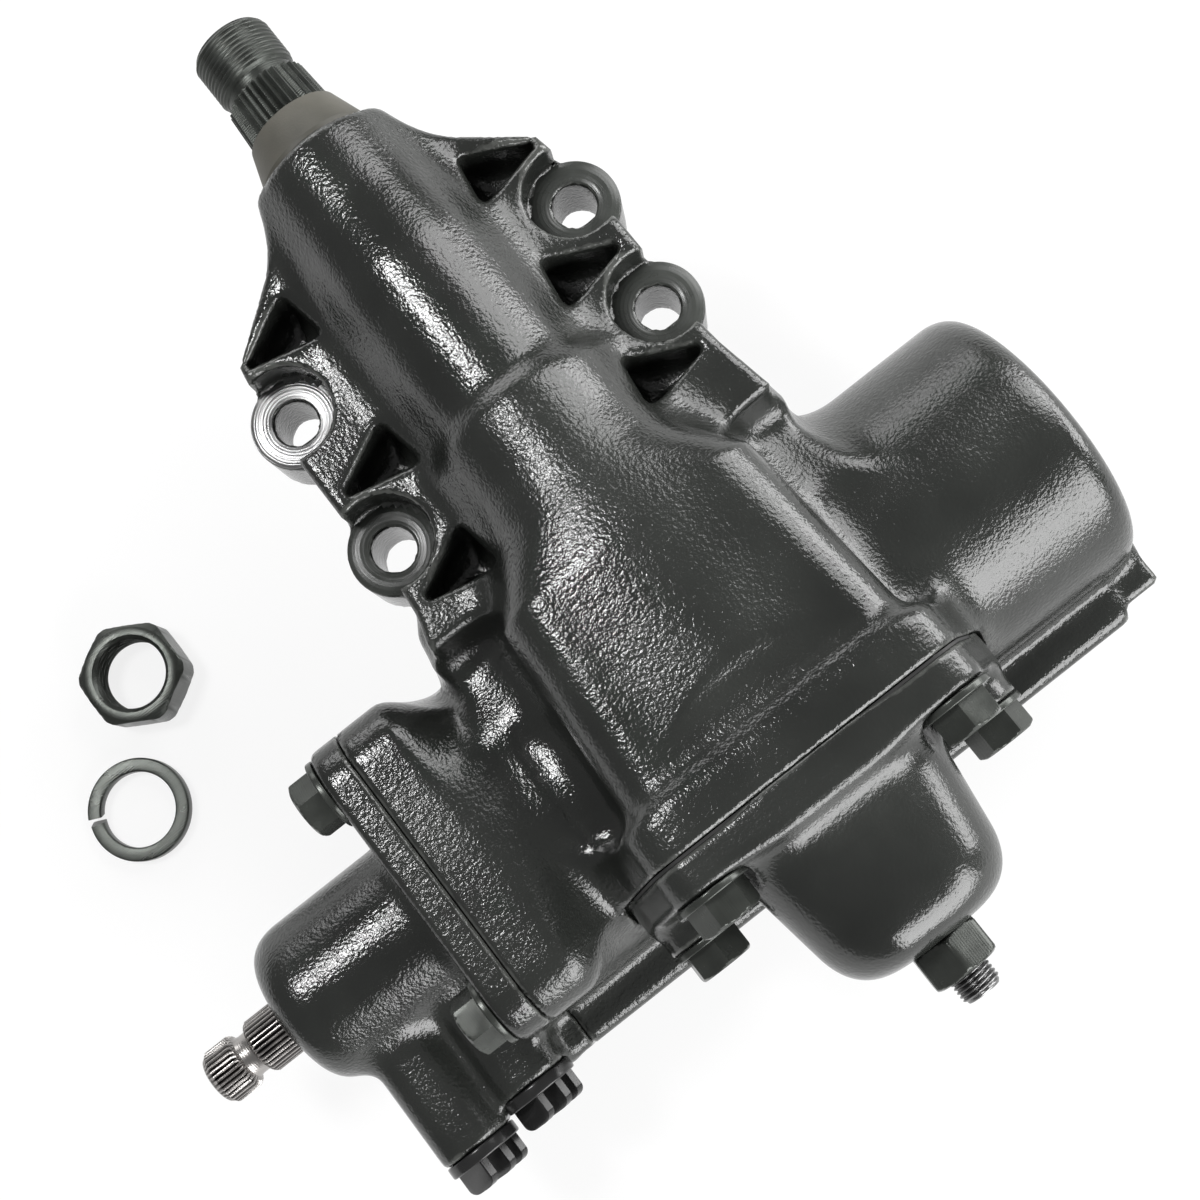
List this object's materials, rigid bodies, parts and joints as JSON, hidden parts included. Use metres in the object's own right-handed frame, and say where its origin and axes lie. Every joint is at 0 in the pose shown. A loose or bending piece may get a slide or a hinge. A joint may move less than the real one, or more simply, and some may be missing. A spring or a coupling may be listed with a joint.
{
  "type": "steering gearbox",
  "caption": "Power steering gearbox: cast housing with frame lugs, side cover, valve housing with input shaft, and a rack piston that swings the splined output shaft.",
  "frame": {"origin": "midway between the two front frame-bolt holes, on the mounting face of the lugs", "axes": "+Y along the sector shaft towards its threaded end, +X along the rack piston towards the closed end of the cylinder, +Z from the mounting face towards the bolt seats"},
  "size_m": [0.313, 0.337, 0.141],
  "materials": {
    "cast_black": "gloss",
    "black_steel": "satin",
    "bare_steel": "satin",
    "bronze": "satin",
    "rubber_black": "matte",
    "plastic_black": "satin",
    "ptfe": "matte"
  },
  "bodies": {
    "housing": {"main_housing": "cast_black", "side_cover": "cast_black", "valve_housing": "cast_black", "side_cover_bolts": "black_steel", "adjuster_lock_nut": "black_steel", "valve_housing_bolts": "black_steel", "bearing_lock_plate": "black_steel", "sector_snap_ring": "black_steel", "pitman_nut": "black_steel", "pitman_lock_washer": "black_steel", "gallery_plug": "bare_steel", "adjusting_screw": "bare_steel", "worm_bearing": "bare_steel", "input_bearing": "bare_steel", "sector_bearing_inner": "bare_steel", "sector_bearing_outer": "bare_steel", "side_cover_bush": "bronze", "port_seats": "bronze", "side_cover_gasket": "rubber_black", "valve_housing_seal": "rubber_black", "input_oil_seal": "rubber_black", "sector_oil_seal": "rubber_black", "pressure_port_plug": "plastic_black", "return_port_plug": "plastic_black"},
    "sector": {"sector_shaft": "black_steel", "adjuster_retainer": "bare_steel", "sector_dust_cover": "rubber_black"},
    "piston": {"rack_piston": "bare_steel", "piston_ring": "ptfe", "recirculating_balls": "bare_steel", "ball_return_tube": "bare_steel", "return_tube_clamp": "black_steel"},
    "worm": {"worm_shaft": "bare_steel", "valve_sleeve": "bare_steel", "sleeve_seal_rings": "ptfe", "torsion_bar": "bare_steel"},
    "input": {"input_shaft": "bare_steel", "torsion_pin": "black_steel"}
  },
  "joints": [
    {"name": "sector_swing", "type": "hinge", "parent": "housing", "child": "sector", "pos_m": [0.00125, 0, 0.034], "axis": [0, 1, 0], "range_deg": [-40, 40]},
    {"name": "piston_travel", "type": "slide", "parent": "housing", "child": "piston", "axis": [1, 0, 0], "range_m": [-0.0226, 0.0226]},
    {"name": "worm_spin", "type": "hinge", "parent": "housing", "child": "worm", "pos_m": [0.00125, -0.129, -0.024], "axis": [1, 0, 0], "range_deg": [-632, 632]},
    {"name": "valve_twist", "type": "hinge", "parent": "worm", "child": "input", "pos_m": [-0.14875, -0.129, -0.024], "axis": [1, 0, 0], "range_deg": [-4, 4], "stiffness_Nm_per_rad": 20}
  ],
  "couplings": [
    {"joint": "piston_travel", "follows": "sector_swing", "m_per_rad": -0.032},
    {"joint": "worm_spin", "follows": "sector_swing", "ratio": 15.708}
  ]
}
